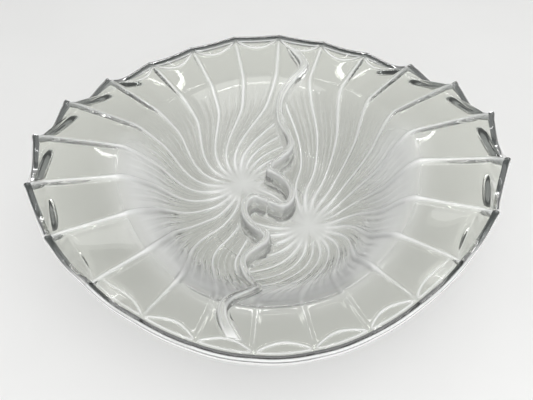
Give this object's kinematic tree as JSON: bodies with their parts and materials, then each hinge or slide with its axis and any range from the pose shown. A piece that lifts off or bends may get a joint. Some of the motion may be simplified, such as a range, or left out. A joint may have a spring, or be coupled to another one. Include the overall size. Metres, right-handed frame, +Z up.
{
  "type": "divided glass chip and dip server",
  "caption": "Oval clear glass server with raised ends, fluted shelf, scalloped rim and two swirl-ribbed basins parted by a low wavy S-shaped divider.",
  "frame": {"origin": "middle of the foot ring, on the surface that the dish stands on", "axes": "+X along the dish towards its right raised end, +Y to its back, +Z up"},
  "size_m": [0.3374, 0.2976, 0.0924],
  "materials": {
    "clear_glass": "clear pressed glass, glossy, very faint grey tint",
    "polished_rim_glass": "clear glass with a fire-polished, rounded edge",
    "ground_foot_glass": "clear glass, lightly ground where it stands"
  },
  "bodies": {
    "root": {"left_basin": "clear_glass", "right_basin": "clear_glass", "left_shelf": "clear_glass", "right_shelf": "clear_glass", "scalloped_rim": "polished_rim_glass", "divider": "clear_glass", "foot_ring": "ground_foot_glass"}
  },
  "joints": []
}
